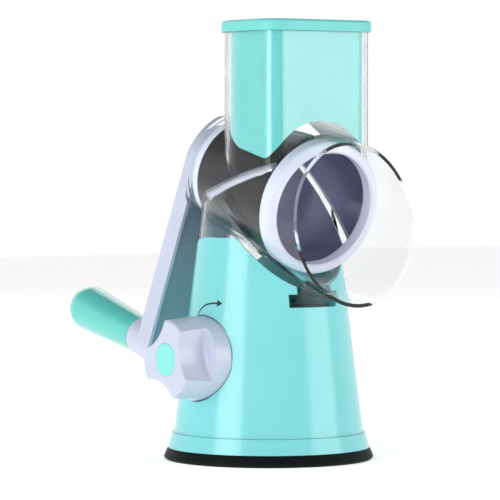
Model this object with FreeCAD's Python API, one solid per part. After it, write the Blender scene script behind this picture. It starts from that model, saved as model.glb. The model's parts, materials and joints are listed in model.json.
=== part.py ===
"""Rotary drum grater on a suction base: a hand crank turns a slicing drum inside a clear housing.

The frame is millimetres with +Z up. The origin is the middle of the suction cup's footprint, the drum's
mouth faces -Y, the crank is at +Y and the suction lock is on the -X side.
"""
import FreeCAD, Part
import math
import os

V = FreeCAD.Vector

# ---- driving dimensions -------------------------------------------------------------------------
GAP = 0.3                   # clearance between neighbours that slide or seat
RUN_GAP = 0.1               # radial clearance of a shaft in its bearing

# base
CUP_R = 63.0                # widest radius of the rubber suction cup
CUP_TOP_R = 60.8            # its radius where it meets the pan
CUP_H = 7.0                 # height of the rubber rim
CUP_SEAL_W = 12.0           # width of the flat ring that seals on the table
CUP_SKIN = 2.6              # thickness of the membrane inside the rim
CUP_DOME = 2.0              # how far the membrane stands off the table
CUP_BOSS_R = 12.0           # boss in the middle, moulded round the stud's flange
CUP_BOSS_TOP = 11.0
PAN_TOP = 16.2              # top edge of the base pan
PAN_TOP_R = 58.2
PAN_WALL = 2.4
BODY_FOOT_R = 56.9          # outer radius of the body where it meets the pan
BODY_SLOPE = 0.1227         # radius lost per millimetre of height
BODY_WALL = 2.6
BODY_TOP = 133.6            # level part of the body's top edge
BODY_REAR_Y = 5.5           # behind this the top edge rounds down
BODY_REAR_R = 40.0
SADDLE_GAP = 5.2            # from the barrel's outside to the body's saddle edge
DECK_T = 2.0                # thickness of the deck that carries the T-slot

# housing, drum and crank: s is measured along the drum's axis, forwards, from above the origin
TILT = 14.1                 # the drum's axis dips this much towards the mouth
AXIS_H = 164.6              # height of the axis above the origin
BARREL_REAR_S = -36.0
BARREL_FRONT_S = 50.0
BARREL_REAR_R = 35.1        # outer radii of the conical barrel
BARREL_FRONT_R = 42.7
HOUSING_WALL = 2.2
RIM_W = 1.6                 # how far the barrel's rear rim stands out
BEARING_LEN = 5.0          # bearing tube behind the barrel's rear wall
SHAFT_R = 8.0
MOUTH_Y = -83.8             # centre of the outlet's rim
MOUTH_H = 142.3
MOUTH_TILT = 5.65           # the rim's plane leans back this much
MOUTH_HALF_W = 44.0
MOUTH_HALF_H = 48.3
HOPPER_FRONT_Y = -55.0
HOPPER_HALF_W = 38.7
HOPPER_CORNER_R = 12.0
HOPPER_ROUND_Y = -21.0      # where the straight sides turn into the round back
HOPPER_TOP = 255.0

# T-rail under the barrel
RAIL_HALF_W = 17.2
RAIL_RECESS = 2.0           # how far the rail's end stands back from the wall
RAIL_BOTTOM = 92.9
RAIL_TOP = 100.4
RAIL_NECK_HALF_W = 12.0
RAIL_REAR_Y = 18.0
RAIL_WALL = 2.0

# pusher
PUSHER_GAP = 1.1            # between the pusher and the hopper's inside, at the top
PUSHER_WALL = 2.2
PUSHER_SOLE_R = 38.7        # radius of the arch under the pusher
PUSHER_SOLE_RISE = 11.0     # how far the arch's axis lies above the drum's
LID_H = 7.0
LID_OVERHANG = 1.8
LID_TOP_T = 2.4

# drum
RING_R = 39.9
RING_BORE_R = 33.8
RING_REAR_S = 48.0
RING_FRONT_S = 58.0
RING_NOSE = 1.8             # how far the ring's inner edge stands ahead of its outer edge
SHEET_T = 0.8
SLEEVE_GAP = 1.5            # between the sleeve and the barrel's inside
CAP_REAR_S = -33.0
CAP_T = 5.0
HEX_AF = 12.0
HEX_GAP = 0.2
SLOT_W = 5.4
SLOT_START = 18.9           # first slot's rear end, from +X towards up
SLOT_TURN = -57.0           # degrees that a slot winds round the drum
SLOT_REAR_S = -16.0
SLOT_FRONT_S = 45.0
SLOT_COUNT = 4

# crank
ARM_FRONT_S = -43.7
ARM_T = 14.4
ARM_LEN = 118.0
ARM_HUB_R = 22.8
ARM_TIP_R = 12.5
ARM_WALL = 2.2
ARM_ANGLE = 13.6            # from straight down towards -X, as the crank is parked
PLATE_T = 2.0
PLATE_INSET = 1.2
BOSS_R = 11.6
BOSS_LEN = 11.0
GRIP_ROOT_R = 11.4
GRIP_TIP_R = 14.2
GRIP_LEN = 72.0
PIN_R = 4.0
PIN_LEN = 50.0

# suction lock
KNOB_H = 62.2               # height of the knob's axis
KNOB_R = 25.0
KNOB_FRONT_R = 23.2
KNOB_BACK_X = -45.6
KNOB_SHOULDER_X = -56.6     # the finger scoops stop here
KNOB_FRONT_X = -75.4
SCOOP_R = 28.0
SCOOP_OFFSET = 42.5
KNOB_TURN = 20.0            # first lobe, from straight up towards -Y
CAP_R = 9.9
CAP_DISC_T = 2.0
POCKET_GAP = 0.7
JOURNAL_R = 6.0
JOURNAL_END_X = -13.0
CAM_PIN_R = 5.0
CAM_THROW = 4.0             # lift of the cup's stud over a quarter turn
CAM_HALF_LEN = 7.0
YOKE_HALF_X = 5.0
STUD_R = 3.6
SCREW_CIRCLE_R = 44.0
SCREW_R = 1.9

EPS = 0.01
BIG = 400.0


# ---- helpers ------------------------------------------------------------------------------------
def solid_of(shape):
    """The tidy solid of a boolean result."""
    clean = shape.removeSplitter()
    solids = clean.Solids
    return solids[0] if len(solids) == 1 else Part.makeCompound(solids)


def cut(shape, *tools):
    for tool in tools:
        shape = shape.cut(tool)
    return shape


def fuse(shape, *tools):
    return shape.multiFuse(list(tools))


def box(x0, x1, y0, y1, z0, z1):
    return Part.makeBox(x1 - x0, y1 - y0, z1 - z0, V(x0, y0, z0))


def turned(points):
    """A solid of revolution about Z from (radius, height) corners."""
    corners = [V(r, 0, z) for r, z in points]
    face = Part.Face(Part.makePolygon(corners + corners[:1]))
    return face.revolve(V(0, 0, 0), V(0, 0, 1), 360)


def cone_between(r0, z0, r1, z1):
    """A full cone or cylinder about Z between two heights."""
    if abs(r0 - r1) < EPS:
        return Part.makeCylinder(r0, z1 - z0, V(0, 0, z0))
    return Part.makeCone(r0, r1, z1 - z0, V(0, 0, z0))


def on_axis(shape):
    """Moves a shape from the drum's own frame (z = s, y = up) to its place."""
    moved = shape.copy()
    spot = FreeCAD.Placement(V(0, 0, AXIS_H), FreeCAD.Rotation(V(1, 0, 0), 90 + TILT))
    moved.Placement = spot.multiply(moved.Placement)
    return moved


def on_knob(shape):
    """Moves a shape from the lock's frame (z = along -X, y = up) to the knob's axis."""
    moved = shape.copy()
    turn = FreeCAD.Rotation(V(0, -1, 0), V(0, 0, 1), V(-1, 0, 0), "ZYX")
    spot = FreeCAD.Placement(V(0, 0, KNOB_H), turn)
    moved.Placement = spot.multiply(moved.Placement)
    return moved


def hexagon(across_flats, z0, z1):
    radius = across_flats / 2 / math.cos(math.pi / 6)
    corners = [V(radius * math.cos(k * math.pi / 3), radius * math.sin(k * math.pi / 3), z0) for k in range(6)]
    return Part.Face(Part.makePolygon(corners + corners[:1])).extrude(V(0, 0, z1 - z0))


def body_r(z):
    """Outer radius of the base's cone at a height."""
    return BODY_FOOT_R - BODY_SLOPE * (z - PAN_TOP)


def barrel_r(s):
    """Outer radius of the barrel at a place on its axis."""
    share = (s - BARREL_REAR_S) / (BARREL_FRONT_S - BARREL_REAR_S)
    return BARREL_REAR_R + (BARREL_FRONT_R - BARREL_REAR_R) * share


def barrel_cone(offset, s0, s1):
    """The barrel's cone, grown by an offset, between two places, in the drum's frame."""
    return cone_between(barrel_r(s0) + offset, s0, barrel_r(s1) + offset, s1)


def base_cone(offset, z0, z1):
    return cone_between(body_r(z0) + offset, z0, body_r(z1) + offset, z1)


def hopper_prism(inset, z0, z1):
    """The hopper's outline, flat in front and round behind, moved in by inset."""
    half = HOPPER_HALF_W - inset
    front = HOPPER_FRONT_Y + inset
    corner = max(HOPPER_CORNER_R - inset, 1.0)
    bend = corner * (1 - math.sqrt(0.5))
    a = V(half, HOPPER_ROUND_Y, z0)
    b = V(-half, HOPPER_ROUND_Y, z0)
    c = V(-half, front + corner, z0)
    d = V(-half + corner, front, z0)
    e = V(half - corner, front, z0)
    f = V(half, front + corner, z0)
    edges = [
        Part.Arc(a, V(0, HOPPER_ROUND_Y + half, z0), b).toShape(),
        Part.makeLine(b, c),
        Part.Arc(c, V(-half + bend, front + bend, z0), d).toShape(),
        Part.makeLine(d, e),
        Part.Arc(e, V(half - bend, front + bend, z0), f).toShape(),
        Part.makeLine(f, a),
    ]
    return Part.Face(Part.Wire(edges)).extrude(V(0, 0, z1 - z0))


def below_edge(grow):
    """Everything below the body's top edge: level, round at the rear, hollowed for the barrel in front."""
    low = BODY_TOP - BODY_REAR_R
    front = box(-BIG, BIG, -BIG, BODY_REAR_Y, -BIG, BODY_TOP + grow)
    rear = box(-BIG, BIG, -BIG, BODY_REAR_Y + BODY_REAR_R + grow, -BIG, low)
    round_end = Part.makeCylinder(BODY_REAR_R + grow, 2 * BIG, V(-BIG, BODY_REAR_Y, low), V(1, 0, 0))
    saddle = on_axis(barrel_cone(SADDLE_GAP - grow, -BIG / 4, BIG / 4))
    return cut(fuse(front, rear, round_end), saddle)


def t_profile(inset, y0, y1, top):
    """The T-rail's section, moved in by inset, from y0 to y1, with its neck up to top."""
    foot = box(-RAIL_HALF_W + inset, RAIL_HALF_W - inset, y0, y1, RAIL_BOTTOM + inset, RAIL_TOP - inset)
    neck = box(-RAIL_NECK_HALF_W + inset, RAIL_NECK_HALF_W - inset, y0, y1, RAIL_TOP - inset - EPS, top)
    return foot.fuse(neck)


# ---- base ---------------------------------------------------------------------------------------
def make_suction_cup():
    seal_r = CUP_R - CUP_SEAL_W
    boss = CUP_BOSS_R
    skin_top = CUP_DOME + CUP_SKIN
    cup = turned([
        (0, CUP_DOME), (seal_r - 4, CUP_DOME), (seal_r, 0), (CUP_R - 1.2, 0), (CUP_R, 1.2), (CUP_R - 0.2, 2.4),
        (CUP_TOP_R, CUP_H - 0.1), (seal_r, CUP_H - 0.1), (seal_r - 4, skin_top), (boss, skin_top),
        (boss - 1, CUP_BOSS_TOP), (0, CUP_BOSS_TOP),
    ])
    flange = cone_between(STUD_FLANGE_R + RUN_GAP, STUD_FLANGE_Z - RUN_GAP, STUD_FLANGE_R + RUN_GAP, STUD_FLANGE_Z
                          + STUD_FLANGE_T + RUN_GAP)
    shank = cone_between(STUD_R + RUN_GAP, STUD_FLANGE_Z, STUD_R + RUN_GAP, CUP_BOSS_TOP + 1)
    return cut(cup, flange, shank)


STUD_FLANGE_R = 8.0
STUD_FLANGE_Z = 5.0
STUD_FLANGE_T = 2.0
STUD_TOP = KNOB_H - CAM_THROW - CAM_PIN_R - 4.5
YOKE_BOTTOM = STUD_TOP - 10.0
YOKE_HALF_Y = CAM_PIN_R + CAM_THROW + 5.0


def make_base_pan():
    outer = turned([(0, CUP_H), (CUP_TOP_R - 0.2, CUP_H), (PAN_TOP_R, PAN_TOP), (0, PAN_TOP)])
    inner = turned([
        (0, CUP_H + PAN_WALL), (CUP_TOP_R - 0.2 - PAN_WALL, CUP_H + PAN_WALL),
        (BODY_FOOT_R - BODY_WALL + GAP, PAN_TOP + 1), (0, PAN_TOP + 1),
    ])
    hub = cone_between(CUP_BOSS_R + 4.0, CUP_H, CUP_BOSS_R + 3.0, CUP_BOSS_TOP + 9.0)
    guide = cone_between(STUD_R + GAP, CUP_H - 1, STUD_R + GAP, CUP_BOSS_TOP + 10.0)
    boss_room = cone_between(CUP_BOSS_R + GAP, CUP_H - 1, CUP_BOSS_R - 1 + GAP, CUP_BOSS_TOP + CAM_THROW + 1.0)
    pan = cut(outer, inner).fuse(hub)
    holes = []
    for k in range(4):
        x = SCREW_CIRCLE_R * math.cos(math.radians(45 + 90 * k))
        y = SCREW_CIRCLE_R * math.sin(math.radians(45 + 90 * k))
        holes.append(Part.makeCylinder(SCREW_R + 0.2, 20, V(x, y, CUP_H - 5)))
        holes.append(Part.makeCylinder(SCREW_R * 2 + 0.3, SCREW_HEAD_T, V(x, y, CUP_H)))
    return cut(pan, guide, boss_room, *holes)


SCREW_HEAD_T = 1.2
SCREW_LEN = 15.0


def make_pan_screws():
    screws = []
    for k in range(4):
        x = SCREW_CIRCLE_R * math.cos(math.radians(45 + 90 * k))
        y = SCREW_CIRCLE_R * math.sin(math.radians(45 + 90 * k))
        head = Part.makeCylinder(SCREW_R * 2, SCREW_HEAD_T - 0.1, V(x, y, CUP_H + 0.1))
        shank = Part.makeCylinder(SCREW_R, SCREW_LEN, V(x, y, CUP_H + SCREW_HEAD_T - EPS))
        screws.append(head.fuse(shank))
    return Part.makeCompound(screws)


def make_base_body():
    foot = PAN_TOP + 0.1
    outer = base_cone(0, foot, BODY_TOP)
    spigot = cone_between(body_r(foot) - BODY_WALL, CUP_H + PAN_WALL + 1.5, body_r(foot) - BODY_WALL, foot + 4)
    spigot_bore = cone_between(body_r(foot) - BODY_WALL - 2.0, 0, body_r(foot) - BODY_WALL - 2.0, foot + 4.5)
    inner = base_cone(-BODY_WALL, foot + 4, BODY_TOP + 1)
    shell = cut(outer, inner).fuse(spigot).cut(spigot_bore)
    deck_top = RAIL_TOP + GAP / 2 + DECK_T
    deck = base_cone(-BODY_WALL / 2, RAIL_TOP + GAP / 2, deck_top)
    channel = box(-RAIL_HALF_W - GAP - 2, RAIL_HALF_W + GAP + 2, -body_r(RAIL_BOTTOM), RAIL_REAR_Y + 3,
                  RAIL_BOTTOM - GAP - 2, deck_top)
    channel = channel.common(base_cone(-BODY_WALL / 2, RAIL_BOTTOM - 5, deck_top + 1))
    slot = t_profile(-GAP / 2, -BIG, RAIL_REAR_Y + GAP, deck_top + BIG)
    posts = []
    for k in range(4):
        x = SCREW_CIRCLE_R * math.cos(math.radians(45 + 90 * k))
        y = SCREW_CIRCLE_R * math.sin(math.radians(45 + 90 * k))
        post = Part.makeCylinder(5.0, 22, V(x, y, CUP_H + PAN_WALL + 0.1))
        rib = Part.makeBox(12, 2.4, 22, V(0, -1.2, 0))
        rib.Placement = FreeCAD.Placement(V(x, y, CUP_H + PAN_WALL + 0.1), FreeCAD.Rotation(V(0, 0, 1), 45 + 90 * k))
        pilot = Part.makeCylinder(SCREW_R, 20, V(x, y, CUP_H))
        posts.append(post.fuse(rib.common(base_cone(-BODY_WALL / 2, foot, 60).fuse(spigot))).cut(pilot))
    pocket_r = KNOB_R + POCKET_GAP
    floor_x = -KNOB_BACK_X - GAP
    cup_out = on_knob(Part.makeCylinder(pocket_r + 2, 30, V(0, 0, floor_x - 2.4)))
    cup_out = cup_out.common(base_cone(-EPS, foot, BODY_TOP))
    cup_in = on_knob(Part.makeCylinder(pocket_r, 60, V(0, 0, floor_x)))
    tube_out = on_knob(cone_between(JOURNAL_R + 3.2, -JOURNAL_END_X + 0.2, JOURNAL_R + 4.2, floor_x - 1))
    tube_in = on_knob(Part.makeCylinder(JOURNAL_R + RUN_GAP, 80, V(0, 0, 0)))
    body = fuse(shell, deck, channel, cup_out, *posts)
    body = cut(body, slot, cup_in).fuse(tube_out).cut(tube_in)
    return body.common(below_edge(0).fuse(box(-BIG, BIG, -BIG, BIG, -BIG, deck_top)))


# ---- suction lock -------------------------------------------------------------------------------
def make_pull_stud():
    flange = cone_between(STUD_FLANGE_R, STUD_FLANGE_Z, STUD_FLANGE_R, STUD_FLANGE_Z + STUD_FLANGE_T)
    shank = cone_between(STUD_R, STUD_FLANGE_Z, STUD_R, STUD_TOP)
    return flange.fuse(shank)


def make_lift_yoke():
    """A frame on the stud, with a window that the cam's pin turns in."""
    pin_rest = KNOB_H - CAM_THROW
    window_half_y = CAM_PIN_R + CAM_THROW + 1.5
    frame = box(-YOKE_HALF_X, YOKE_HALF_X, -YOKE_HALF_Y, YOKE_HALF_Y, YOKE_BOTTOM + 6, KNOB_H + CAM_PIN_R + 4)
    neck = cone_between(STUD_R + 3, YOKE_BOTTOM, STUD_R + 4, YOKE_BOTTOM + 7)
    window = box(-YOKE_HALF_X - 1, YOKE_HALF_X + 1, -window_half_y, window_half_y,
                 pin_rest - CAM_PIN_R - GAP, KNOB_H + CAM_PIN_R + GAP)
    thread = cone_between(STUD_R + 0.02, YOKE_BOTTOM - 1, STUD_R + 0.02, STUD_TOP + 0.02)
    return cut(frame.fuse(neck), window, thread)


def make_cam_shaft():
    tail = -KNOB_BACK_X + 12.0
    journal = cone_between(JOURNAL_R, -JOURNAL_END_X, JOURNAL_R, -KNOB_BACK_X)
    web = cone_between(JOURNAL_R + CAM_THROW, CAM_HALF_LEN + 0.5, JOURNAL_R + CAM_THROW, -JOURNAL_END_X)
    pin = Part.makeCylinder(CAM_PIN_R, 2 * CAM_HALF_LEN + 1, V(0, -CAM_THROW, -CAM_HALF_LEN))
    square = box(-KEY_HALF, KEY_HALF, -KEY_HALF, KEY_HALF, -KNOB_BACK_X - EPS, tail)
    pilot = Part.makeCylinder(1.6, 14, V(0, 0, tail - 12))
    return on_knob(cut(fuse(journal, web, pin, square), pilot))


KEY_HALF = 4.0


def make_lock_knob():
    back = -KNOB_BACK_X
    shoulder = -KNOB_SHOULDER_X
    front = -KNOB_FRONT_X
    flange = cone_between(KNOB_R, back, KNOB_R, shoulder)
    grip = cone_between(KNOB_R - EPS, shoulder - EPS, KNOB_FRONT_R, front)
    knob = flange.fuse(grip)
    knob = knob.makeFillet(1.6, [e for e in knob.Edges if abs(e.BoundBox.ZMin - front) < EPS])
    for k in range(3):
        angle = math.radians(90 - KNOB_TURN - 60 - 120 * k)
        centre = V(SCOOP_OFFSET * math.cos(angle), SCOOP_OFFSET * math.sin(angle), shoulder)
        scoop = Part.makeCylinder(SCOOP_R, 60, centre)
        scoop = scoop.makeFillet(2.5, [e for e in scoop.Edges if abs(e.BoundBox.ZMax - shoulder) < EPS])
        knob = knob.cut(scoop)
    tail = back + 12.0
    socket = box(-KEY_HALF - 0.1, KEY_HALF + 0.1, -KEY_HALF - 0.1, KEY_HALF + 0.1, back - 1, tail + 0.1)
    neck = cone_between(JOURNAL_R + 0.2, back - 1, JOURNAL_R + 0.2, back + 0.1)
    bore = Part.makeCylinder(2.2, 60, V(0, 0, back))
    head_room = Part.makeCylinder(4.4, 60, V(0, 0, tail + 2.4))
    seat = Part.makeCylinder(CAP_R + 0.1, 10, V(0, 0, front - CAP_DISC_T))
    hollow = cut(cone_between(KNOB_R - 2.4, back - 1, KNOB_R - 2.4, shoulder - 3), Part.makeCylinder(10, 60, V(0, 0, 0)))
    return on_knob(cut(knob, socket, neck, bore, head_room, seat, hollow))


def make_knob_screw():
    tail = -KNOB_BACK_X + 12.0
    head = Part.makeCylinder(3.8, 2.4, V(0, 0, tail + 2.4))
    shank = Part.makeCylinder(1.6, 12.4, V(0, 0, tail - 9.9))
    recess = hexagon(2.5, tail + 3.6, tail + 6)
    return on_knob(cut(head.fuse(shank), recess))


def make_knob_cap():
    front = -KNOB_FRONT_X
    disc = Part.makeCylinder(CAP_R, CAP_DISC_T + 0.2, V(0, 0, front - CAP_DISC_T))
    disc = disc.makeFillet(0.5, [e for e in disc.Edges if abs(e.BoundBox.ZMin - front - 0.2) < EPS])
    plug = cut(Part.makeCylinder(4.2, 4, V(0, 0, front - CAP_DISC_T - 4)), Part.makeCylinder(3.2, 5, V(0, 0, front
               - CAP_DISC_T - 5)))
    return on_knob(disc.fuse(plug))


# ---- housing ------------------------------------------------------------------------------------
def mouth_section(share, offset):
    """An oval between the barrel's front rim (share 0) and the outlet's rim (share 1)."""
    rim_tilt = TILT + (-MOUTH_TILT - TILT) * share
    d = math.radians(TILT)
    start_y = -BARREL_FRONT_S * math.cos(d)
    start_z = AXIS_H - BARREL_FRONT_S * math.sin(d)
    ease = max(share, 0.0) ** 1.25
    centre = V(0, start_y + (MOUTH_Y - start_y) * share, start_z + (MOUTH_H - start_z) * share)
    half_w = BARREL_FRONT_R + (MOUTH_HALF_W - BARREL_FRONT_R) * ease + offset
    half_h = BARREL_FRONT_R + (MOUTH_HALF_H - BARREL_FRONT_R) * ease + offset
    up = V(0, -math.sin(math.radians(rim_tilt)), math.cos(math.radians(rim_tilt)))
    side = V(1, 0, 0)
    if half_h > half_w + 1e-4:
        curve = Part.Ellipse(centre + up * half_h, centre + side * half_w, centre)
    else:
        curve = Part.Circle(centre, side.cross(up), half_w)
    return Part.Wire(curve.toShape())


def mouth_shell():
    shares = (0.0, 0.5, 1.0)
    outer = Part.makeLoft([mouth_section(k, 0) for k in shares], True)
    inner = Part.makeLoft([mouth_section(k, -HOUSING_WALL) for k in (0.0, 0.5, 1.03)], True)
    return outer, inner


def make_drum_housing():
    wall = HOUSING_WALL
    rear = BARREL_REAR_S
    front = BARREL_FRONT_S
    barrel = on_axis(barrel_cone(0, rear - wall, front))
    rim = on_axis(cone_between(barrel_r(rear) + RIM_W, rear - wall, barrel_r(rear) + RIM_W, rear + 1.4))
    bore = on_axis(barrel_cone(-wall, rear, front))
    bearing = on_axis(Part.makeCylinder(SHAFT_R + RUN_GAP + 2.6, BEARING_LEN, V(0, 0, rear - wall - BEARING_LEN)))
    shaft_hole = on_axis(Part.makeCylinder(SHAFT_R + RUN_GAP, 60, V(0, 0, rear - 40)))
    outlet, outlet_bore = mouth_shell()
    hopper = hopper_prism(0, AXIS_H, HOPPER_TOP)
    hopper_bore = hopper_prism(wall, AXIS_H, HOPPER_TOP + 1)
    skirt = cut(base_cone(0, RAIL_TOP, AXIS_H), base_cone(-wall, RAIL_TOP - 1, AXIS_H + 1))
    deck_top = RAIL_TOP + GAP / 2 + DECK_T
    skirt = cut(skirt, below_edge(GAP), box(-BIG, BIG, -BIG, BIG, 0, deck_top + GAP))
    face_y = -body_r(RAIL_BOTTOM) + RAIL_RECESS
    rail = t_profile(0, face_y, RAIL_REAR_Y, AXIS_H)
    rail_hollow = t_profile(RAIL_WALL, face_y + RAIL_WALL, RAIL_REAR_Y + 1, AXIS_H)
    rail = cut(rail, rail_hollow).common(base_cone(-RAIL_RECESS, RAIL_BOTTOM, AXIS_H + 5))
    shell = fuse(barrel, rim, bearing, outlet, hopper, skirt, rail)
    return cut(shell, bore, outlet_bore, hopper_bore, shaft_hole)


# ---- pusher -------------------------------------------------------------------------------------
def pusher_sole(offset):
    """The arch under the pusher, which runs along the drum."""
    radius = PUSHER_SOLE_R + offset
    arch = on_axis(cone_between(radius, -BIG / 5, radius, BIG / 5))
    return arch.translated(V(0, 0, PUSHER_SOLE_RISE))


def make_pusher_body():
    inset = HOUSING_WALL + PUSHER_GAP
    top = HOPPER_TOP + LID_TOP_T
    block = hopper_prism(inset, AXIS_H, top)
    hollow = hopper_prism(inset + PUSHER_WALL, AXIS_H, top + 1)
    return cut(block, cut(hollow, pusher_sole(PUSHER_WALL)), pusher_sole(0))


def make_pusher_lid():
    top = HOPPER_TOP + LID_H
    lid = hopper_prism(-LID_OVERHANG, HOPPER_TOP + GAP, top)
    lid = lid.makeFillet(1.8, [e for e in lid.Edges if abs(e.BoundBox.ZMin - top) < EPS])
    socket = hopper_prism(HOUSING_WALL + PUSHER_GAP - 0.1, HOPPER_TOP - 1, HOPPER_TOP + LID_TOP_T + 0.1)
    return cut(lid, socket)


# ---- drum ---------------------------------------------------------------------------------------
def sleeve_r(s):
    return barrel_r(s) - HOUSING_WALL - SLEEVE_GAP


def sleeve_wall(s0, s1, grow):
    """The sheet's thickness between two places, grown by a clearance."""
    outer = cone_between(sleeve_r(s0) + grow, s0, sleeve_r(s1) + grow, s1)
    inner = cone_between(sleeve_r(s0) - SHEET_T - grow, s0, sleeve_r(s1) - SHEET_T - grow, s1)
    return outer.cut(inner)


def slot_tool(k):
    """A flat bar that cuts one slot, slanted to the drum's axis."""
    start = math.radians(360 / SLOT_COUNT * k + SLOT_START)
    end = start + math.radians(SLOT_TURN)
    r0 = sleeve_r(SLOT_REAR_S)
    r1 = sleeve_r(SLOT_FRONT_S)
    p0 = V(r0 * math.cos(start), r0 * math.sin(start), SLOT_REAR_S)
    p1 = V(r1 * math.cos(end), r1 * math.sin(end), SLOT_FRONT_S)
    middle = (p0 + p1) * 0.5
    out = V(middle.x, middle.y, 0).normalize()
    along = (p1 - p0).normalize()
    across = out.cross(along).normalize()
    out = along.cross(across)
    length = (p1 - p0).Length
    bar = box(-length / 2, length / 2, -SLOT_W / 2, SLOT_W / 2, -8, 16)
    matrix = FreeCAD.Matrix(along.x, across.x, out.x, middle.x, along.y, across.y, out.y, middle.y,
                            along.z, across.z, out.z, middle.z, 0, 0, 0, 1)
    return bar.transformed(matrix)


def make_drum_sleeve():
    s0 = CAP_REAR_S + 1.0
    s1 = RING_REAR_S + 5.0
    sleeve = sleeve_wall(s0, s1, 0)
    for k in range(SLOT_COUNT):
        sleeve = sleeve.cut(slot_tool(k))
    return on_axis(sleeve)


def make_drum_front_ring():
    s0 = RING_REAR_S
    s1 = RING_FRONT_S
    seat_end = RING_REAR_S + 5.0
    ring = turned([
        (RING_BORE_R, s0 + 2), (RING_BORE_R + 1, s0), (RING_R, s0), (RING_R, s1 - RING_NOSE - 1.0),
        (RING_R - 1.0, s1 - RING_NOSE), (RING_BORE_R + 1.2, s1), (RING_BORE_R, s1 - 1.2),
    ])
    return on_axis(cut(ring, sleeve_wall(s0 - 1, seat_end + 0.05, 0.03)))


def make_drum_rear_cap():
    s0 = CAP_REAR_S
    s1 = CAP_REAR_S + CAP_T
    plate_end = s0 + 2.2
    edge = sleeve_r(s0) + 0.6
    cap = turned([
        (0, s0), (edge, s0), (edge, s1), (sleeve_r(s1) - SHEET_T - 2.0, s1), (sleeve_r(s1) - SHEET_T - 2.0, plate_end),
        (HEX_AF * 0.5 + 4.5, plate_end), (HEX_AF * 0.5 + 3.8, s0 + 15), (0, s0 + 15),
    ])
    socket = hexagon(HEX_AF + 2 * HEX_GAP, s0 - 1, s0 + 13)
    return crank_turn(cut(cap, sleeve_wall(s0 + 0.95, s1 + 1, 0.03), socket))


# ---- crank --------------------------------------------------------------------------------------
def arm_prism(inset, s0, s1):
    """The arm's outline: two circles and the flanks between them, along the drum's frame -y."""
    hub = ARM_HUB_R - inset
    tip = ARM_TIP_R - inset
    lean = math.asin((hub - tip) / ARM_LEN)
    c, n = math.cos(lean), math.sin(lean)
    a = V(hub * c, -hub * n, s0)
    b = V(tip * c, -ARM_LEN - tip * n, s0)
    a2 = V(-a.x, a.y, s0)
    b2 = V(-b.x, b.y, s0)
    edges = [
        Part.Arc(a, V(0, hub, s0), a2).toShape(),
        Part.makeLine(a2, b2),
        Part.Arc(b2, V(0, -ARM_LEN - tip, s0), b).toShape(),
        Part.makeLine(b, a),
    ]
    return Part.Face(Part.Wire(edges)).extrude(V(0, 0, s1 - s0))


def crank_turn(shape):
    """Turns the crank about the drum's axis to where it is parked, then moves it to its place."""
    moved = shape.copy()
    moved.rotate(V(0, 0, 0), V(0, 0, 1), -ARM_ANGLE)
    return on_axis(moved)


def make_crank_arm():
    rear = ARM_FRONT_S - ARM_T
    arm = arm_prism(0, rear, ARM_FRONT_S)
    arm = arm.makeFillet(2.0, [e for e in arm.Edges if abs(e.BoundBox.ZMax - rear) < EPS])
    hollow = arm_prism(ARM_WALL, rear + ARM_WALL, ARM_FRONT_S + 1)
    hub = Part.makeCylinder(SHAFT_R + 3.5, ARM_T - PLATE_INSET - PLATE_T - 1, V(0, 0, rear + 1))
    tip = Part.makeCylinder(PIN_R + 4, ARM_T - PLATE_INSET - PLATE_T - 2.8, V(0, -ARM_LEN, rear + 1))
    boss = cone_between(BOSS_R, rear - BOSS_LEN, BOSS_R - 0.3, rear + 2.6).translated(V(0, -ARM_LEN, 0))
    socket = hexagon(SHAFT_HEX + 0.1, rear + 4.0, ARM_FRONT_S + 1)
    screw_hole = Part.makeCylinder(2.2, 60, V(0, 0, rear - 10))
    screw_seat = Part.makeCylinder(4.6, 4.0, V(0, 0, rear - 1.6))
    pin_hole = Part.makeCylinder(PIN_R + 0.02, 60, V(0, -ARM_LEN, rear - BOSS_LEN - 1))
    arm = cut(arm, hollow)
    arm = fuse(arm, hub, tip, boss)
    return crank_turn(cut(arm, socket, screw_hole, screw_seat, pin_hole))


SHAFT_HEX = 12.0


def make_crank_arm_plate():
    s1 = ARM_FRONT_S - PLATE_INSET
    plate = arm_prism(ARM_WALL + 0.1, s1 - PLATE_T, s1)
    return crank_turn(cut(plate, Part.makeCylinder(SHAFT_R + 0.2, 60, V(0, 0, s1 - 30))))


def make_crank_shaft():
    rear = ARM_FRONT_S - ARM_T + 4.1
    shoulder = ARM_FRONT_S - PLATE_INSET - PLATE_T + 0.02
    root = hexagon(SHAFT_HEX, rear, ARM_FRONT_S)
    journal = cone_between(SHAFT_R, shoulder, SHAFT_R, BARREL_REAR_S - 0.5)
    drive = hexagon(HEX_AF, BARREL_REAR_S - 1, CAP_REAR_S + 12)
    pilot = Part.makeCylinder(1.7, 14, V(0, 0, rear - 1))
    return crank_turn(cut(fuse(root, journal, drive), pilot))


def make_shaft_screw():
    rear = ARM_FRONT_S - ARM_T
    head = Part.makeCylinder(4.2, 2.2, V(0, 0, rear + 0.2))
    shank = Part.makeCylinder(1.7, 12, V(0, 0, rear + 2.3))
    recess = hexagon(2.6, rear - 1, rear + 1.4)
    return crank_turn(cut(head.fuse(shank), recess))


def make_grip_pin():
    rear = ARM_FRONT_S - ARM_T
    head = Part.makeCylinder(PIN_R + 2.0, 1.6, V(0, -ARM_LEN, ARM_FRONT_S - PLATE_INSET - PLATE_T - 1.7))
    pin = Part.makeCylinder(PIN_R, ARM_T + BOSS_LEN + PIN_LEN - PLATE_INSET - PLATE_T - 1.5,
                            V(0, -ARM_LEN, rear - BOSS_LEN - PIN_LEN))
    return crank_turn(pin.fuse(head))


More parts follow.
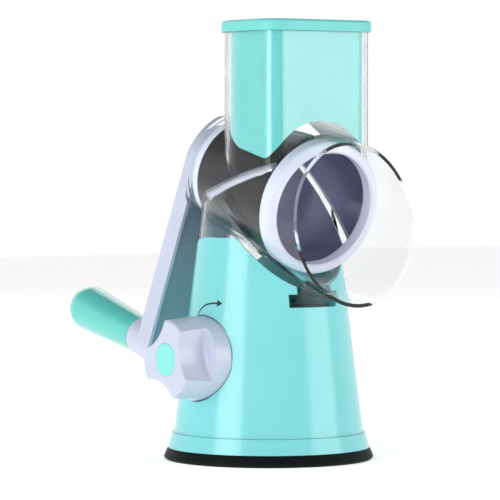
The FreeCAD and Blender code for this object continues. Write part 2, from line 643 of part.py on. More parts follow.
def make_crank_grip():
    root = ARM_FRONT_S - ARM_T - BOSS_LEN - GAP
    end = root - GRIP_LEN
    shoulder = end + GRIP_TIP_R
    a = V(GRIP_ROOT_R, 0, root - 1)
    b = V(GRIP_TIP_R, 0, shoulder)
    edges = [
        Part.makeLine(V(0, 0, root), V(GRIP_ROOT_R - 1, 0, root)),
        Part.makeLine(V(GRIP_ROOT_R - 1, 0, root), a),
        Part.makeLine(a, b),
        Part.Arc(b, V(GRIP_TIP_R * math.sqrt(0.5), 0, shoulder - GRIP_TIP_R * math.sqrt(0.5)), V(0, 0, end)).toShape(),
        Part.makeLine(V(0, 0, end), V(0, 0, root)),
    ]
    grip = Part.Face(Part.Wire(edges)).revolve(V(0, 0, 0), V(0, 0, 1), 360)
    bore = Part.makeCylinder(PIN_R + RUN_GAP, PIN_LEN + 1, V(0, 0, root - PIN_LEN - 1 + GAP))
    return crank_turn(cut(grip, bore).translated(V(0, -ARM_LEN, 0)))


PARTS = {
    "suction_cup": make_suction_cup,
    "base_pan": make_base_pan,
    "pan_screws": make_pan_screws,
    "base_body": make_base_body,
    "pull_stud": make_pull_stud,
    "lift_yoke": make_lift_yoke,
    "cam_shaft": make_cam_shaft,
    "lock_knob": make_lock_knob,
    "knob_screw": make_knob_screw,
    "knob_cap": make_knob_cap,
    "drum_housing": make_drum_housing,
    "pusher_body": make_pusher_body,
    "pusher_lid": make_pusher_lid,
    "drum_sleeve": make_drum_sleeve,
    "drum_front_ring": make_drum_front_ring,
    "drum_rear_cap": make_drum_rear_cap,
    "crank_arm": make_crank_arm,
    "crank_arm_plate": make_crank_arm_plate,
    "crank_shaft": make_crank_shaft,
    "shaft_screw": make_shaft_screw,
    "grip_pin": make_grip_pin,
    "crank_grip": make_crank_grip,
}


def main():
    os.makedirs("parts", exist_ok=True)
    for name, make in PARTS.items():
        shape = solid_of(make())
        shape.exportStep(os.path.join("parts", name + ".step"))
        print(name, len(shape.Solids), shape.isValid(), round(shape.Volume / 1000, 2), "cm3")


main()
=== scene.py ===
"""Finishes and studio for a hand-cranked drum grater: clear housing, steel drum and suction base."""

from __future__ import annotations

import json
import logging
import math
from dataclasses import dataclass
from enum import Enum
from typing import Any

import bpy
from mathutils import Euler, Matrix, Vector

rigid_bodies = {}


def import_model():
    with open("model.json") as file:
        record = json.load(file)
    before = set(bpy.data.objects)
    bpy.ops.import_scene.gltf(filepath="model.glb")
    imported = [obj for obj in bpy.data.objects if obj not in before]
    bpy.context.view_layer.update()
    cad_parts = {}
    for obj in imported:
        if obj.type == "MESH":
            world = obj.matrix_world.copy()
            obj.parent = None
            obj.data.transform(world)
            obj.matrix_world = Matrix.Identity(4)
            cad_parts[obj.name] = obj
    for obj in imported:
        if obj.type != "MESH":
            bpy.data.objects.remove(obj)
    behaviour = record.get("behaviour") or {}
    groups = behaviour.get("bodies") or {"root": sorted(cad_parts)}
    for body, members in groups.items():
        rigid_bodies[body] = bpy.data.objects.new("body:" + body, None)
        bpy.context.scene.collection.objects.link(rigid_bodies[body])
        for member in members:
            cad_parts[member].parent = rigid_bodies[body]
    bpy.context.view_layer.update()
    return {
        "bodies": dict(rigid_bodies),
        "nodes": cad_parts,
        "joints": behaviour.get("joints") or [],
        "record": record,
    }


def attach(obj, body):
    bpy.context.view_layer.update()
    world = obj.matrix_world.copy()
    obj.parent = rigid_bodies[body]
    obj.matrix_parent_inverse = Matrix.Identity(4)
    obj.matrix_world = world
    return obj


LOG = logging.getLogger("grater")
MM = 0.001


class Slot(Enum):
    """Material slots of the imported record."""

    SHELL = "shell"
    INLAY = "inlay"
    PUSHER = "pusher"
    GRIP = "grip"
    PALE = "pale"
    RING = "ring"
    CLEAR = "clear"
    SHEET = "sheet"
    STEEL = "steel"
    RUBBER = "rubber"
    INNER = "inner"


def linear(hex_colour: str) -> tuple[float, float, float, float]:
    """Turns an sRGB hex colour to linear values.

    Args:
        hex_colour: Colour such as "#8AE6E4".

    Returns:
        Red, green, blue and alpha, linear.
    """
    parts = [int(hex_colour[k : k + 2], 16) / 255.0 for k in (1, 3, 5)]
    red, green, blue = (
        c / 12.92 if c <= 0.04045 else ((c + 0.055) / 1.055) ** 2.4 for c in parts
    )
    return red, green, blue, 1.0


def noise_scale(size_mm: float) -> float:
    """Scale of a noise whose patches are about this many millimetres across."""
    return 1.0 / (size_mm * MM)


def add_node(
    tree: bpy.types.NodeTree,
    kind: str,
    settings: dict[str, object] | None = None,
    inputs: dict[str | int, object] | None = None,
) -> bpy.types.Node:
    """Adds a node with its settings, values and links.

    Args:
        tree: Node tree that gets the node.
        kind: Blender's name for the node type.
        settings: Attributes of the node.
        inputs: Values or output sockets, by input name or number.

    Returns:
        The new node.
    """
    node = tree.nodes.new(kind)
    for name, value in (settings or {}).items():
        setattr(node, name, value)
    for name, value in (inputs or {}).items():
        if isinstance(value, bpy.types.NodeSocket):
            tree.links.new(value, node.inputs[name])
        else:
            node.inputs[name].default_value = value
    return node


@dataclass(frozen=True)
class Finish:
    """A finish for whole pieces: one node tree, from object coordinates to a shader."""

    name: str

    def shade(self, tree: bpy.types.NodeTree, place: bpy.types.NodeSocket) -> bpy.types.NodeSocket:
        """Adds the nodes of the finish.

        Args:
            tree: Node tree that gets them.
            place: Object coordinates, in metres.

        Returns:
            The shader that goes to the output.
        """
        raise NotImplementedError

    def material(self) -> bpy.types.Material:
        """Makes the material.

        Returns:
            The material, ready to use.
        """
        material = bpy.data.materials.new(self.name)
        material.use_nodes = True
        tree = material.node_tree
        tree.nodes.clear()
        output = add_node(tree, "ShaderNodeOutputMaterial")
        place = add_node(tree, "ShaderNodeTexCoord").outputs["Object"]
        tree.links.new(self.shade(tree, place), output.inputs["Surface"])
        return material


@dataclass(frozen=True)
class MouldedAbs(Finish):
    """Pigmented ABS from a polished steel mould: even colour and a clean gloss, a little dulled by hands."""

    colour: str
    deep: str
    roughness: float = 0.2
    gloss_spread: tuple[float, float] = (0.8, 1.25)
    flow_mm: float = 36.0
    wear_mm: float = 9.0
    grain_mm: float = 0.45
    grain_height_mm: float = 0.004
    coat: float = 0.25

    def shade(self, tree: bpy.types.NodeTree, place: bpy.types.NodeSocket) -> bpy.types.NodeSocket:
        """Adds the pigment, the uneven gloss and the mould's grain.

        Args:
            tree: Node tree that gets them.
            place: Object coordinates, in metres.

        Returns:
            The shader.
        """
        # flow of the melt: pigment a little denser in patches a few fingers wide
        flow = add_node(
            tree,
            "ShaderNodeTexNoise",
            inputs={"Vector": place, "Scale": noise_scale(self.flow_mm), "Detail": 2.0},
        )
        tint = add_node(
            tree,
            "ShaderNodeMix",
            {"data_type": "RGBA"},
            {0: flow.outputs[0], 6: linear(self.colour), 7: linear(self.deep)},
        )
        # handling marks: gloss varies over about a centimetre
        wear = add_node(
            tree,
            "ShaderNodeTexNoise",
            inputs={
                "Vector": place,
                "Scale": noise_scale(self.wear_mm),
                "Detail": 5.0,
                "Roughness": 0.6,
            },
        )
        gloss = add_node(
            tree,
            "ShaderNodeMapRange",
            inputs={
                "Value": wear.outputs[0],
                "To Min": self.roughness * self.gloss_spread[0],
                "To Max": self.roughness * self.gloss_spread[1],
            },
        )
        # the mould's own texture, drawn about twice as coarse as it is so that it shows
        grain = add_node(
            tree,
            "ShaderNodeTexNoise",
            inputs={"Vector": place, "Scale": noise_scale(self.grain_mm), "Detail": 2.0},
        )
        bump = add_node(
            tree,
            "ShaderNodeBump",
            inputs={"Strength": 0.35, "Distance": self.grain_height_mm * MM, "Height": grain.outputs[0]},
        )
        return add_node(
            tree,
            "ShaderNodeBsdfPrincipled",
            inputs={
                "Base Color": tint.outputs[2],
                "Roughness": gloss.outputs[0],
                "Normal": bump.outputs[0],
                "IOR": 1.54,
                "Coat Weight": self.coat,
                "Coat Roughness": 0.08,
            },
        ).outputs[0]


@dataclass(frozen=True)
class ClearSan(Finish):
    """Clear SAN from a polished mould: water-clear walls with a grey-green where they are seen edge-on,
    partly the plastic's own tint and mostly painted dark reflection.
    """

    colour: str = "#F9FBFB"
    # colour of edge-on walls: a little the plastic's tint, mostly painted dark reflection
    edge: str = "#9CC4C0"
    through: str = "#F4F7F7"
    roughness: float = 0.02
    gloss_spread: tuple[float, float] = (0.5, 1.6)
    edge_band: tuple[float, float] = (0.8, 0.99)
    swirl_mm: float = 16.0
    swirl_height_mm: float = 0.01

    def shade(self, tree: bpy.types.NodeTree, place: bpy.types.NodeSocket) -> bpy.types.NodeSocket:
        """Adds the clear wall, its edge colour (mostly painted dark reflection) and the light that passes it.

        Args:
            tree: Node tree that gets them.
            place: Object coordinates, in metres.

        Returns:
            The shader.
        """
        swirl = add_node(
            tree,
            "ShaderNodeTexNoise",
            inputs={"Vector": place, "Scale": noise_scale(self.swirl_mm), "Detail": 1.0},
        )
        bump = add_node(
            tree,
            "ShaderNodeBump",
            inputs={"Strength": 0.3, "Distance": self.swirl_height_mm * MM, "Height": swirl.outputs[0]},
        )
        haze = add_node(
            tree,
            "ShaderNodeMapRange",
            inputs={
                "Value": swirl.outputs[0],
                "To Min": self.roughness * self.gloss_spread[0],
                "To Max": self.roughness * self.gloss_spread[1],
            },
        )
        # a wall seen edge-on has more plastic to look through, so it has a little more colour there; most of
        # the grey-green there is painted dark reflection
        slant = add_node(tree, "ShaderNodeLayerWeight", inputs={"Blend": 0.5}).outputs["Facing"]
        edge_tint_and_painted_reflection = add_node(
            tree,
            "ShaderNodeMapRange",
            {"interpolation_type": "SMOOTHSTEP"},
            {"Value": slant, "From Min": self.edge_band[0], "From Max": self.edge_band[1]},
        )
        tint = add_node(
            tree,
            "ShaderNodeMix",
            {"data_type": "RGBA"},
            {0: edge_tint_and_painted_reflection.outputs[0], 6: linear(self.colour), 7: linear(self.edge)},
        )
        # thin, even walls bend the view little, so the index is low and the real gloss is in the coat
        shader = add_node(
            tree,
            "ShaderNodeBsdfPrincipled",
            inputs={
                "Base Color": tint.outputs[2],
                "Roughness": haze.outputs[0],
                "Normal": bump.outputs[0],
                "IOR": 1.1,
                "Transmission Weight": 1.0,
                "Coat Weight": 0.3,
                "Coat Roughness": 0.01,
                "Coat IOR": 1.5,
            },
        )
        # lamps shine through, so that what is inside isn't in the dark
        clear = add_node(tree, "ShaderNodeBsdfTransparent", inputs={"Color": linear(self.through)})
        path = add_node(tree, "ShaderNodeLightPath")
        return add_node(
            tree,
            "ShaderNodeMixShader",
            inputs={0: path.outputs["Is Shadow Ray"], 1: shader.outputs[0], 2: clear.outputs[0]},
        ).outputs[0]


@dataclass(frozen=True)
class RolledSteel(Finish):
    """Stainless steel, rolled or turned: fine lines and a dim, streaked mirror."""

    colour: str
    dark: str
    roughness: float = 0.24
    gloss_spread: tuple[float, float] = (0.7, 1.3)
    cloud_mm: float = 16.7
    line_mm: float = 0.5
    line_depth_mm: float = 0.01
    line_squeeze: tuple[float, float, float] = (0.05, 1.0, 0.2)

    def lines(self, tree: bpy.types.NodeTree, place: bpy.types.NodeSocket) -> bpy.types.NodeSocket:
        """Adds the fine lines of rolling and turning, long sideways and thin from front to back.

        Args:
            tree: Node tree that gets them.
            place: Object coordinates, in metres.

        Returns:
            The height of the lines, drawn about three times as coarse as real ones so that they show.
        """
        squeezed = add_node(tree, "ShaderNodeMapping", inputs={"Vector": place, "Scale": self.line_squeeze})
        return add_node(
            tree,
            "ShaderNodeTexNoise",
            inputs={"Vector": squeezed.outputs[0], "Scale": noise_scale(self.line_mm), "Detail": 3.0},
        ).outputs[0]

    def tint(self, tree: bpy.types.NodeTree, place: bpy.types.NodeSocket) -> bpy.types.NodeSocket:
        """Adds the metal's own colour, a little uneven where it was wiped.

        Args:
            tree: Node tree that gets it.
            place: Object coordinates, in metres.

        Returns:
            The colour.
        """
        cloud = add_node(
            tree,
            "ShaderNodeTexNoise",
            inputs={"Vector": place, "Scale": noise_scale(self.cloud_mm), "Detail": 3.0},
        )
        return add_node(
            tree,
            "ShaderNodeMix",
            {"data_type": "RGBA"},
            {0: cloud.outputs[0], 6: linear(self.colour), 7: linear(self.dark)},
        ).outputs[2]

    def shade(self, tree: bpy.types.NodeTree, place: bpy.types.NodeSocket) -> bpy.types.NodeSocket:
        """Adds the lined metal.

        Args:
            tree: Node tree that gets it.
            place: Object coordinates, in metres.

        Returns:
            The shader.
        """
        lines = self.lines(tree, place)
        gloss = add_node(
            tree,
            "ShaderNodeMapRange",
            inputs={
                "Value": lines,
                "To Min": self.roughness * self.gloss_spread[0],
                "To Max": self.roughness * self.gloss_spread[1],
            },
        )
        bump = add_node(
            tree,
            "ShaderNodeBump",
            inputs={"Strength": 0.4, "Distance": self.line_depth_mm * MM, "Height": lines},
        )
        return add_node(
            tree,
            "ShaderNodeBsdfPrincipled",
            inputs={
                "Base Color": self.tint(tree, place),
                "Metallic": 1.0,
                "Roughness": gloss.outputs[0],
                "Normal": bump.outputs[0],
            },
        ).outputs[0]


@dataclass(frozen=True, kw_only=True)
class DrumSteelWithPaintedReflection(RolledSteel):
    """Rolled stainless of the drum: bright steel on the inner face, and a painted dark reflection on the
    outer face.
    """

    inside: str
    axis: tuple[float, float, float]
    pivot: tuple[float, float, float]

    def tint(self, tree: bpy.types.NodeTree, place: bpy.types.NodeSocket) -> bpy.types.NodeSocket:
        """Adds the painted dark reflection of the outer face and the steel colour of the inner face, told
        apart by which way the sheet faces.

        Args:
            tree: Node tree that gets them.
            place: Object coordinates, in metres.

        Returns:
            The colour.
        """
        # painted dark reflection: the outer face's steel is drawn near-black
        painted_dark_outside = super().tint(tree, place)
        from_axis = add_node(
            tree, "ShaderNodeVectorMath", {"operation": "SUBTRACT"}, {0: place, 1: self.pivot}
        ).outputs[0]
        along = add_node(
            tree, "ShaderNodeVectorMath", {"operation": "PROJECT"}, {0: from_axis, 1: self.axis}
        ).outputs[0]
        radial = add_node(
            tree, "ShaderNodeVectorMath", {"operation": "SUBTRACT"}, {0: from_axis, 1: along}
        ).outputs[0]
        normal = add_node(tree, "ShaderNodeTexCoord").outputs["Normal"]
        facing = add_node(
            tree, "ShaderNodeVectorMath", {"operation": "DOT_PRODUCT"}, {0: radial, 1: normal}
        ).outputs["Value"]
        inner = add_node(tree, "ShaderNodeMath", {"operation": "LESS_THAN"}, {0: facing, 1: 0.0})
        return add_node(
            tree,
            "ShaderNodeMix",
            {"data_type": "RGBA"},
            {0: inner.outputs[0], 6: painted_dark_outside, 7: linear(self.inside)},
        ).outputs[2]


@dataclass(frozen=True)
class MouldedRubber(Finish):
    """Black nitrile rubber from a blasted mould: soft sheen and a fine grain that holds dust."""

    colour: str = "#050B0C"
    dusty: str = "#0B1213"
    roughness: float = 0.5
    gloss_spread: tuple[float, float] = (0.85, 1.3)
    grain_mm: float = 0.7
    grain_height_mm: float = 0.03
    dust_mm: float = 22.2

    def shade(self, tree: bpy.types.NodeTree, place: bpy.types.NodeSocket) -> bpy.types.NodeSocket:
        """Adds the grain, the dust and the rubber under them.

        Args:
            tree: Node tree that gets them.
            place: Object coordinates, in metres.

        Returns:
            The shader.
        """
        grain = add_node(
            tree,
            "ShaderNodeTexNoise",
            inputs={"Vector": place, "Scale": noise_scale(self.grain_mm), "Detail": 3.0},
        )
        dust = add_node(
            tree,
            "ShaderNodeTexNoise",
            inputs={"Vector": place, "Scale": noise_scale(self.dust_mm), "Detail": 6.0},
        )
        tint = add_node(
            tree,
            "ShaderNodeMix",
            {"data_type": "RGBA"},
            {0: dust.outputs[0], 6: linear(self.colour), 7: linear(self.dusty)},
        )
        gloss = add_node(
            tree,
            "ShaderNodeMapRange",
            inputs={
                "Value": dust.outputs[0],
                "To Min": self.roughness * self.gloss_spread[0],
                "To Max": self.roughness * self.gloss_spread[1],
            },
        )
        bump = add_node(
            tree,
            "ShaderNodeBump",
            inputs={"Strength": 0.5, "Distance": self.grain_height_mm * MM, "Height": grain.outputs[0]},
        )
        return add_node(
            tree,
            "ShaderNodeBsdfPrincipled",
            inputs={
                "Base Color": tint.outputs[2],
                "Roughness": gloss.outputs[0],
                "Normal": bump.outputs[0],
                "IOR": 1.52,
                "Specular IOR Level": 0.1,
            },
        ).outputs[0]


@dataclass(frozen=True)
class PadInk(Finish):
    """Pad-printed ink: thin, dark and slightly matt, with a soft mottle from the pad."""

    colour: str = "#0C1D1F"
    thin: str = "#142A2C"
    mottle_mm: float = 1.11

    def shade(self, tree: bpy.types.NodeTree, place: bpy.types.NodeSocket) -> bpy.types.NodeSocket:
        """Adds the mottled ink.

        Args:
            tree: Node tree that gets it.
            place: Object coordinates, in metres.

        Returns:
            The shader.
        """
        mottle = add_node(
            tree,
            "ShaderNodeTexNoise",
            inputs={"Vector": place, "Scale": noise_scale(self.mottle_mm), "Detail": 2.0},
        )
        tint = add_node(
            tree,
            "ShaderNodeMix",
            {"data_type": "RGBA"},
            {0: mottle.outputs[0], 6: linear(self.colour), 7: linear(self.thin)},
        )
        return add_node(
            tree,
            "ShaderNodeBsdfPrincipled",
            inputs={"Base Color": tint.outputs[2], "Roughness": 0.45, "IOR": 1.48},
        ).outputs[0]


@dataclass(frozen=True)
class StudioBoard(Finish):
    """Matt white board that glows a little, so that the floor is as bright as the surround."""

    colour: str = "#FAFAFA"
    bright: str = "#FDFDFD"
    fleck_mm: float = 3.33
    glow: float = 0.5

    def shade(self, tree: bpy.types.NodeTree, place: bpy.types.NodeSocket) -> bpy.types.NodeSocket:
        """Adds the flecked board and its glow.

        Args:
            tree: Node tree that gets them.
            place: Object coordinates, in metres.

        Returns:
            The shader.
        """
        fleck = add_node(
            tree, "ShaderNodeTexNoise", inputs={"Vector": place, "Scale": noise_scale(self.fleck_mm)}
        )
        tint = add_node(
            tree,
            "ShaderNodeMix",
            {"data_type": "RGBA"},
            {0: fleck.outputs[0], 6: linear(self.colour), 7: linear(self.bright)},
        )
        return add_node(
            tree,
            "ShaderNodeBsdfPrincipled",
            inputs={
                "Base Color": tint.outputs[2],
                "Roughness": 0.9,
                "Specular IOR Level": 0.1,
                "Emission Color": (1.0, 1.0, 1.0, 1.0),
                "Emission Strength": self.glow,
            },
        ).outputs[0]


@dataclass(frozen=True)
class DrumAxis:
    """The drum's own frame: s runs forwards along its axis, angles go from +X towards up."""

    pivot: Vector
    axis: Vector

    @classmethod
    def from_record(cls, record: dict[str, Any]) -> DrumAxis:
        """Reads the axis of the joint that the crank turns on.

        Args:
            record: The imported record.

        Returns:
            The drum's frame.
        """
        joint = next(j for j in record["behaviour"]["joints"] if j["name"] == "crank_spin")
        return cls(Vector(joint["pos_m"]), Vector(joint["axis"]).normalized())

    def place(self, across: float, up: float, s: float) -> Vector:
        """Turns drum coordinates in millimetres to a place in metres.

        Args:
            across: Along +X.
            up: Square to the axis, upwards.
            s: Along the axis, forwards.

        Returns:
            The place.
        """
        upward = Vector((1.0, 0.0, 0.0)).cross(-self.axis)
        return self.pivot + (Vector((across, 0.0, 0.0)) + upward * up + self.axis * s) * MM


class FinishSet:
    """Every finish of the grater, made once and given out by node or by slot."""

    def __init__(self, drum: DrumAxis) -> None:
        """Makes the materials.

        Args:
            drum: Where the drum's axis lies.
        """
        # printed arrow: near-black, with little shine
        self.ink = PadInk("arrow_ink").material()
        # ground lips of the drum: the brightest metal here, with a soft mirror
        self.blade = RolledSteel("ground_blade_steel", "#E6E6F4", "#D6D6E8", roughness=0.34).material()
        # the pusher's lid lies flat under the sky, so it is matt, or it would glare
        lid = MouldedAbs("lid_abs", "#70D3D0", "#68CCC9", roughness=0.42, coat=0.0)
        self.by_node: dict[str, bpy.types.Material] = {"pusher_lid": lid.material()}
        # drum: painted dark reflection on the sleeve's outer face, so that the slots and their lips stand out
        # from it
        sleeve = DrumSteelWithPaintedReflection(
            "rolled_stainless_painted_reflection",
            # near-black steel of the outer face: painted dark reflection
            "#242429",
            "#19191D",
            inside="#C4C4D4",
            axis=drum.axis[:],
            pivot=drum.pivot[:],
        )
        self.by_slot: dict[Slot, bpy.types.Material] = {
            # base and pan: plain gloss
            Slot.SHELL: MouldedAbs("turquoise_abs", "#7AD6D9", "#73CFD2").material(),
            # knob's face: a lighter, softer turquoise
            Slot.INLAY: MouldedAbs("inlay_abs", "#84E6DF", "#7CE0D8", roughness=0.3).material(),
            # pusher: deeper colour under a full gloss
            Slot.PUSHER: MouldedAbs("pusher_abs", "#58C4C2", "#50BDBB", roughness=0.14, coat=1.0).material(),
            # crank's grip: the glossiest of the turquoise, with sharp highlights along it
            Slot.GRIP: MouldedAbs("grip_abs", "#5CCFC5", "#54C8BE", roughness=0.1, coat=0.8).material(),
            # knob and crank arm: cool white with a broad, soft shine
            Slot.PALE: MouldedAbs("lavender_white_abs", "#C9CFE2", "#C2C8DD", roughness=0.3).material(),
            # drum's ring and rear cap: the same plastic, a little whiter
            Slot.RING: MouldedAbs("drum_ring_abs", "#DEE0F0", "#D6D9EC", roughness=0.28).material(),
            Slot.CLEAR: ClearSan("clear_san").material(),
            Slot.SHEET: sleeve.material(),
            # screws, shafts and pins: mid-grey with turning lines
            Slot.STEEL: RolledSteel("turned_steel", "#B4B5BA", "#A6A7AD", roughness=0.3).material(),
            Slot.RUBBER: MouldedRubber("nitrile_rubber").material(),
            # cover inside the crank and the lock's yoke: matt, and blue-grey as painted shade, standing for
            # the white arm's face in shadow
            Slot.INNER: MouldedAbs("cover_abs_painted_shade", "#86A3B2", "#7E9CAC", roughness=0.4, coat=0.0).material(),
        }

    def dress(self, thing: bpy.types.Object, node: str, slot: Slot) -> None:
        """Gives an object one finish on all its faces.

        Args:
            thing: Mesh object.
            node: Name of its node, which may have a finish of its own.
            slot: The slot whose finish it gets otherwise.
        """
        thing.data.materials.clear()
        thing.data.materials.append(self.by_node.get(node, self.by_slot[slot]))


def mesh_piece(name: str, points: list[Vector], faces: list[tuple[int, ...]]) -> bpy.types.Object:
    """Makes a smooth mesh object and links it to the scene.

    Args:
        name: Name of the piece.
        points: Its corners, in metres.
        faces: Corner numbers of each face.

    Returns:
        The object.
    """
    mesh = bpy.data.meshes.new(name)
    mesh.from_pydata([tuple(p) for p in points], [], faces)
    mesh.update()
    mesh.shade_smooth()
    piece = bpy.data.objects.new(name, mesh)
    bpy.context.scene.collection.objects.link(piece)
    return piece


def strip_faces(steps: int, around: int) -> list[tuple[int, ...]]:
    """Numbers the faces of a closed strip: rings of corners joined end to end.

    Args:
        steps: Spans along the strip, one fewer than its rings.
        around: Corners in each ring.

    Returns:
        The side faces and the two ends.
    """
    faces: list[tuple[int, ...]] = []
    for step in range(steps):
        here = step * around
        for k in range(around):
            after = (k + 1) % around
            faces.append((here + k, here + around + k, here + around + after, here + after))
    faces.append(tuple(range(around)))
    faces.append(tuple(steps * around + k for k in reversed(range(around))))
    return faces


def aim(eye: Vector, target: Vector) -> Euler:
    """Rotation that points a camera or a lamp from one place at another."""
    return (target - eye).to_track_quat("-Z", "Y").to_euler()


@dataclass(frozen=True)
class Softbox:
    """A rectangular lamp: its place and size in metres, its power in watts."""

    name: str
    place: tuple[float, float, float]
    size: tuple[float, float]
    power: float

    def hang(self, target: Vector) -> None:
        """Hangs the lamp.

        Args:
            target: Where it shines, in metres.
        """
        data = bpy.data.lights.new(self.name, "AREA")
        data.shape = "RECTANGLE"
        data.size, data.size_y = self.size
        data.energy = self.power
        lamp = bpy.data.objects.new(self.name, data)
        lamp.location = self.place
        lamp.rotation_euler = aim(Vector(self.place), target)
        bpy.context.scene.collection.objects.link(lamp)


@dataclass
class Studio:
    """Camera, floor, sky and lamps, with places and sizes in metres.

    The sky starts to dim at the first height of fade_band, where 1 is straight up. From the second height
    on, its brightness is overhead. sight is how far the camera sees.
    """

    eye: Vector = Vector((-1.11665, -1.51399, 0.18772))
    target: Vector = Vector((-0.00717, 0.00924, 0.12521))
    lens_mm: float = 225.3
    sensor_mm: float = 36.0
    sight: float = 20.0
    floor_size: float = 6.0
    fade_band: tuple[float, float] = (0.3, 0.75)
    overhead: float = 0.2
    lamp_target: Vector = Vector((0.0, 0.0, 0.14))
    lamps: tuple[Softbox, ...] = (
        Softbox("side", (-1.6, -0.11, 0.38), (0.95, 0.9), 9.5),
        Softbox("front", (1.0, -1.37, 0.35), (1.2, 0.9), 7.5),
        Softbox("key", (-0.9, -1.2, 1.3), (0.8, 0.8), 1.0),
        Softbox("rear", (0.6, 1.5, 1.2), (1.2, 0.8), 3.0),
    )

    def camera(self) -> None:
        """Places the camera at the object's usual three-quarter view."""
        data = bpy.data.cameras.new("camera")
        data.lens = self.lens_mm
        data.sensor_width = self.sensor_mm
        data.clip_end = self.sight
        camera = bpy.data.objects.new("camera", data)
        camera.location = self.eye
        camera.rotation_euler = aim(self.eye, self.target)
        bpy.context.scene.collection.objects.link(camera)
        bpy.context.scene.camera = camera

    def floor(self) -> None:
        """Lays a plain pale floor."""
        half = self.floor_size / 2
        ends = ((-half, -half), (half, -half), (half, half), (-half, half))
        corners = [Vector((x, y, 0.0)) for x, y in ends]
        sheet = mesh_piece("floor", corners, [(0, 1, 2, 3)])
        sheet.data.materials.append(StudioBoard("pale_floor").material())

    def sky(self) -> None:
        """Makes a white surround that darkens overhead, so that gloss has something to mirror."""
        world = bpy.data.worlds.new("studio")
        bpy.context.scene.world = world
        world.use_nodes = True
        tree = world.node_tree
        tree.nodes.clear()
        output = add_node(tree, "ShaderNodeOutputWorld")
        place = add_node(tree, "ShaderNodeTexCoord").outputs["Generated"]
        height = add_node(tree, "ShaderNodeSeparateXYZ", inputs={0: place}).outputs["Z"]
        fade = add_node(
            tree,
            "ShaderNodeMapRange",
            {"interpolation_type": "SMOOTHSTEP"},
            {
                "Value": height,
                "From Min": self.fade_band[0],
                "From Max": self.fade_band[1],
                "To Min": 1.0,
                "To Max": self.overhead,
            },
        )
        back = add_node(
            tree,
            "ShaderNodeBackground",
            inputs={"Color": (1.0, 1.0, 1.0, 1.0), "Strength": fade.outputs[0]},
        )
        tree.links.new(back.outputs[0], output.inputs["Surface"])

    def build(self) -> None:
        """Makes the whole studio."""
        bpy.context.scene.view_settings.view_transform = "Standard"
        self.camera()
        self.floor()
        self.sky()
        for lamp in self.lamps:
            lamp.hang(self.lamp_target)
        LOG.info("studio ready")


@dataclass
class SlicingBlades:
    """The raised lips along the drum's slots: thin ground steel, one to a slot, in drum millimetres.

    The profile is a lip's cross-section: how far across the slot's line each corner lies, and how far
    over the sleeve.
    """

    axis: DrumAxis
    finishes: FinishSet
    count: int = 4
    rear_s: float = -16.0
    front_s: float = 45.0
    start_deg: float = 18.9
    turn_deg: float = -57.0
    inset_mm: float = 1.6
    steps: int = 28
    rounds: int = 6
    sleeve_radius_at_0: float = 34.58
    sleeve_flare: float = 0.08837
    profile: tuple[tuple[float, float], ...] = (
        (-3.9, 0.0),
        (-3.0, 0.35),
        (0.1, 1.15),
        (0.2, 0.95),
        (-2.9, -0.5),
    )

    def radius(self, s: float) -> float:
        """Outer radius of the sleeve at a place on its axis, in millimetres."""
        return self.sleeve_radius_at_0 + self.sleeve_flare * s

    def slot_end(self, k: int, s: float, share: float) -> Vector:
        """One end of a slot's straight line, in drum coordinates.

        Args:
            k: Number of the slot.
            s: Place along the axis.
            share: 0 at the rear end, 1 at the front end.

        Returns:
            The end, in millimetres.
        """
        angle = math.radians(360.0 / self.count * k + self.start_deg + self.turn_deg * share)
        return Vector((math.cos(angle), math.sin(angle), 0.0)) * self.radius(s) + Vector((0.0, 0.0, s))

    def lip_point(self, chord: Vector, out: Vector, rise: float) -> Vector:
        """Moves a point on a slot's line out to the sleeve's surface, closer with each round.

        Args:
            chord: Point on or beside the slot's straight line.
            out: Direction outwards.
            rise: Height over the sleeve.

        Returns:
            The point, in drum coordinates.
        """
        point = chord.copy()
        for _ in range(self.rounds):
            now = math.hypot(point.x, point.y)
            point += out * ((self.radius(point.z) + rise - now) * now / (point.x * out.x + point.y * out.y))
        return point

    def build(self) -> None:
        """Makes one lip along each slot and lets it ride with the drum."""
        for k in range(self.count):
            start = self.slot_end(k, self.rear_s, 0.0)
            end = self.slot_end(k, self.front_s, 1.0)
            along = (end - start).normalized()
            middle = (start + end) / 2
            across = Vector((middle.x, middle.y, 0.0)).cross(along).normalized()
            out = along.cross(across)
            run = (end - start).length - 2 * self.inset_mm
            points: list[Vector] = []
            for step in range(self.steps + 1):
                centre = start + along * (self.inset_mm + run * step / self.steps)
                for side, rise in self.profile:
                    spot = self.lip_point(centre + across * side, out, rise)
                    points.append(self.axis.place(spot.x, spot.y, spot.z))
            lip = mesh_piece(f"slicing_blade_{k + 1}", points, strip_faces(self.steps, len(self.profile)))
            lip.data.materials.append(self.finishes.blade)
            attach(lip, "drum")
            LOG.info("built %s", lip.name)


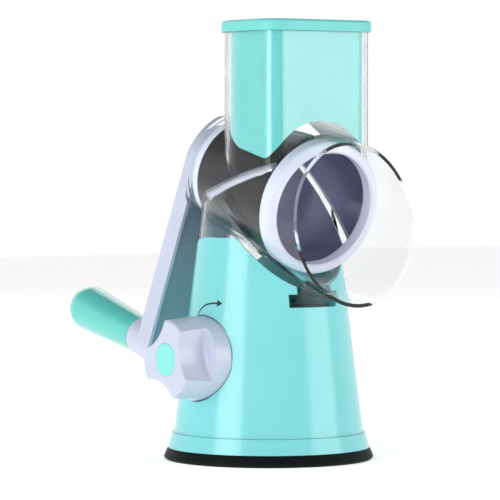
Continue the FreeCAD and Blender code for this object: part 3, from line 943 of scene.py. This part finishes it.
@dataclass
class TurnArrow:
    """The printed arrow over the lock's knob: a thin arc with a head, the way the lock turns.

    It lies on the base's conical wall, in millimetres. Tail, bend and neck are the arc's control points,
    each a sideways place and a height. The line starts at tail_share of its width and has all of it
    after one part in widen_rate of the arc.
    """

    finishes: FinishSet
    foot_radius: float = 56.9
    foot_height: float = 16.2
    slope: float = 0.1227
    film_mm: float = 0.06
    tail: Vector = Vector((6.8, 84.4))
    bend: Vector = Vector((4.5, 95.2))
    neck: Vector = Vector((-11.0, 95.0))
    line_mm: float = 0.95
    tail_share: float = 0.35
    widen_rate: float = 3.0
    head_mm: float = 4.0
    head_half_mm: float = 2.0
    steps: int = 24

    def on_cone(self, spot: Vector, rise: float) -> Vector:
        """Lays a flat point on the base's -X side.

        Args:
            spot: Sideways place and height, in millimetres.
            rise: Height over the wall, in millimetres.

        Returns:
            The place, in metres.
        """
        radius = self.foot_radius - self.slope * (spot.y - self.foot_height) + rise
        return Vector((-math.sqrt(radius * radius - spot.x * spot.x), spot.x, spot.y)) * MM

    def line_points(self) -> list[Vector]:
        """Corners of the arc's line, four to a step.

        Returns:
            The corners, in metres.
        """
        points: list[Vector] = []
        for step in range(self.steps + 1):
            t = step / self.steps
            centre = self.tail * (1 - t) ** 2 + self.bend * (2 * t * (1 - t)) + self.neck * t**2
            way = ((self.bend - self.tail) * (1 - t) + (self.neck - self.bend) * t).normalized()
            share = self.tail_share + (1 - self.tail_share) * min(1.0, self.widen_rate * t)
            side = Vector((-way.y, way.x)) * (self.line_mm / 2 * share)
            for edge, rise in ((-1, 0), (-1, 1), (1, 1), (1, 0)):
                points.append(self.on_cone(centre + side * edge, rise * self.film_mm))
        return points

    def head_points(self) -> list[Vector]:
        """Corners of the arrow's head, each on the wall and then on the film.

        Returns:
            The corners, in metres.
        """
        way = (self.neck - self.bend).normalized()
        side = Vector((-way.y, way.x)) * self.head_half_mm
        corners = (self.neck - side, self.neck + way * self.head_mm, self.neck + side)
        return [self.on_cone(spot, rise) for spot in corners for rise in (0.0, self.film_mm)]

    def build(self) -> None:
        """Prints the arrow on the base."""
        points = self.line_points()
        first = len(points)
        points.extend(self.head_points())
        faces = strip_faces(self.steps, 4)
        # top, underside and the three thin sides of the head
        for face in ((1, 3, 5), (4, 2, 0), (0, 2, 3, 1), (2, 4, 5, 3), (4, 0, 1, 5)):
            faces.append(tuple(first + k for k in face))
        arrow = mesh_piece("turn_arrow", points, faces)
        arrow.data.materials.append(self.finishes.ink)
        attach(arrow, "base")
        LOG.info("built %s", arrow.name)


class Grater:
    """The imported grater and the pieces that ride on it."""

    def __init__(self, frame: dict[str, Any], drum: DrumAxis) -> None:
        """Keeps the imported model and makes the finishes.

        Args:
            frame: What the loader returned.
            drum: Where the drum's axis lies.
        """
        self.frame = frame
        self.drum = drum
        self.finishes = FinishSet(drum)

    def dress_nodes(self) -> None:
        """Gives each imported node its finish."""
        for part in self.frame["record"]["subparts"]:
            name = part["node"]
            self.finishes.dress(self.frame["nodes"][name], name, Slot(part["material_slot"]))
            LOG.info("dressed %s", name)

    def build(self) -> None:
        """Dresses the nodes and adds the pieces."""
        self.dress_nodes()
        SlicingBlades(self.drum, self.finishes).build()
        TurnArrow(self.finishes).build()


def main() -> None:
    """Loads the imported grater, dresses it and lights it."""
    logging.basicConfig(level=logging.INFO, format="%(name)s: %(message)s")
    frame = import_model()
    Studio().build()
    Grater(frame, DrumAxis.from_record(frame["record"])).build()


if __name__ == "__main__":
    main()
